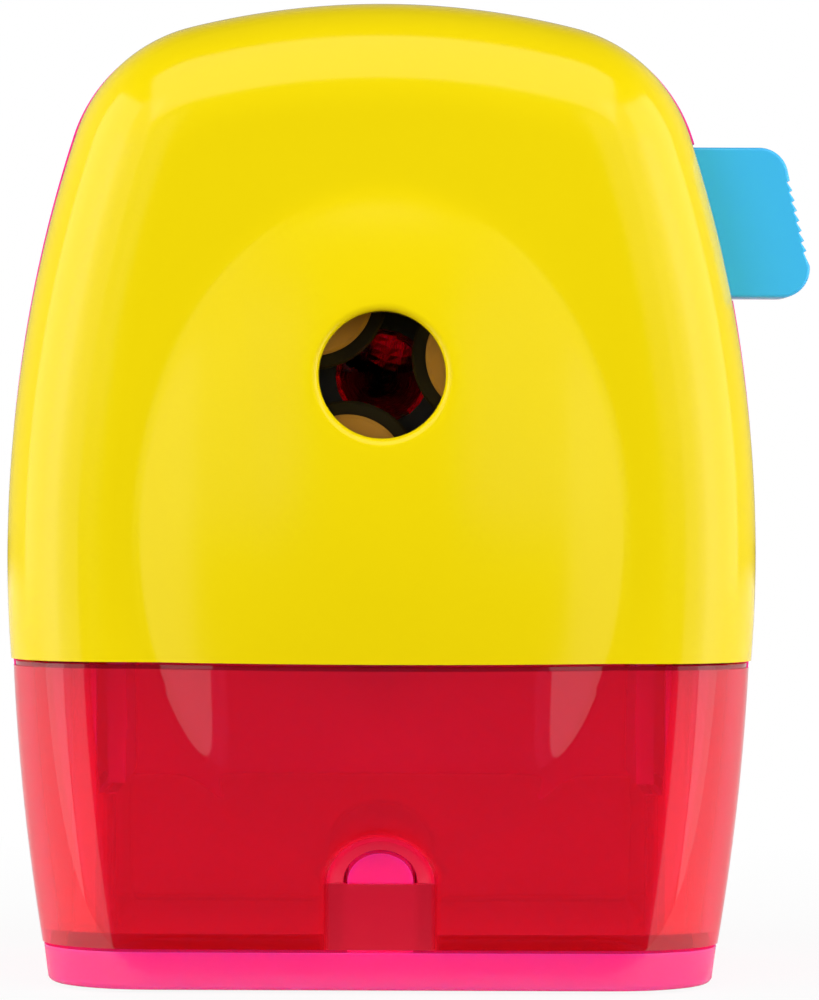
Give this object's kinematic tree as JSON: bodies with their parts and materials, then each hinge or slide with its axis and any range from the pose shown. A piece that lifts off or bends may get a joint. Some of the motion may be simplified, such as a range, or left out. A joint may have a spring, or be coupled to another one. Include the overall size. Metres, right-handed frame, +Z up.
{
  "type": "pencil sharpener",
  "caption": "Hand-cranked desktop pencil sharpener with a rounded two-tone case, clear shavings drawer, side clamp lever, self-centring jaws and a helical cutter in a planetary carrier.",
  "frame": {"origin": "on the desk plane under the middle of the case, below the pencil axis and halfway between the face and the rear wall", "axes": "+X to the right seen from the front (the clamp lever's side), +Y from the face to the back along the pencil, +Z up"},
  "size_m": [0.0823, 0.088, 0.0999],
  "materials": {
    "yellow_plastic": "glossy injection-moulded ABS, bright yellow",
    "pink_plastic": "glossy injection-moulded ABS, hot pink",
    "red_clear": "clear red polystyrene, polished",
    "blue_plastic": "glossy injection-moulded ABS, sky blue",
    "amber_plastic": "satin acetal, brownish amber",
    "black_plastic": "satin glass-filled nylon, black",
    "steel": "machined and plated steel",
    "bronze": "sintered bronze",
    "rubber": "matt black rubber"
  },
  "bodies": {
    "housing": {"front_cover": "yellow_plastic", "rear_housing": "pink_plastic", "chuck_plate": "black_plastic", "chuck_screw_1": "steel", "chuck_screw_2": "steel", "chuck_screw_3": "steel", "gear_hub": "black_plastic", "hub_screw_1": "steel", "hub_screw_2": "steel", "hub_screw_3": "steel", "shaft_bush": "bronze", "cover_screw_1": "steel", "cover_screw_2": "steel", "cover_screw_3": "steel", "cover_screw_4": "steel", "foot_1": "rubber", "foot_2": "rubber", "foot_3": "rubber", "foot_4": "rubber", "return_spring": "steel"},
    "drawer": {"drawer": "red_clear"},
    "lever": {"clamp_lever": "blue_plastic"},
    "cam_ring": {"cam_ring": "black_plastic"},
    "jaw_1": {"jaw_1": "amber_plastic"},
    "jaw_2": {"jaw_2": "amber_plastic"},
    "jaw_3": {"jaw_3": "amber_plastic"},
    "crank": {"carrier": "steel", "cutter_axle": "steel", "crank_arm": "blue_plastic", "crank_screw": "steel", "knob_pin": "steel"},
    "cutter": {"cutter": "steel", "pinion": "steel"},
    "knob": {"knob": "yellow_plastic"}
  },
  "joints": [
    {"name": "drawer_slide", "type": "slide", "parent": "housing", "child": "drawer", "axis": [0, -1, 0], "range_m": [0, 0.045]},
    {"name": "lever_press", "type": "slide", "parent": "housing", "child": "lever", "axis": [-1, 0, 0], "range_m": [0, 0.006], "stiffness_N_per_m": 600, "springref_m": -0.004, "deforming": ["return_spring"]},
    {"name": "ring_swing", "type": "hinge", "parent": "housing", "child": "cam_ring", "pos_m": [0, -0.0208, 0.0619], "axis": [0, -1, 0], "range_deg": [0, 17.2]},
    {"name": "jaw_1_swing", "type": "hinge", "parent": "housing", "child": "jaw_1", "pos_m": [0.0091, -0.0233, 0.07076], "axis": [0, -1, 0], "range_deg": [0, 12.01]},
    {"name": "jaw_2_swing", "type": "hinge", "parent": "housing", "child": "jaw_2", "pos_m": [-0.01222, -0.0233, 0.06535], "axis": [0, -1, 0], "range_deg": [0, 12.01]},
    {"name": "jaw_3_swing", "type": "hinge", "parent": "housing", "child": "jaw_3", "pos_m": [0.00313, -0.0233, 0.04959], "axis": [0, -1, 0], "range_deg": [0, 12.01]},
    {"name": "crank_turn", "type": "hinge", "parent": "housing", "child": "crank", "pos_m": [0, 0, 0.0619], "axis": [0, 1, 0], "continuous": true},
    {"name": "cutter_spin", "type": "hinge", "parent": "crank", "child": "cutter", "pos_m": [0, 0.03299, 0.0619], "axis": [0, 0.9816, -0.1908], "continuous": true},
    {"name": "knob_spin", "type": "hinge", "parent": "crank", "child": "knob", "pos_m": [0, 0.0445, 0.0319], "axis": [0, 1, 0], "continuous": true}
  ],
  "couplings": [
    {"joint": "ring_swing", "follows": "lever_press", "rad_per_m": 50},
    {"joint": "jaw_1_swing", "follows": "lever_press", "rad_per_m": 34.907},
    {"joint": "jaw_2_swing", "follows": "lever_press", "rad_per_m": 34.907},
    {"joint": "jaw_3_swing", "follows": "lever_press", "rad_per_m": 34.907},
    {"joint": "cutter_spin", "follows": "crank_turn", "ratio": -1.7692}
  ]
}
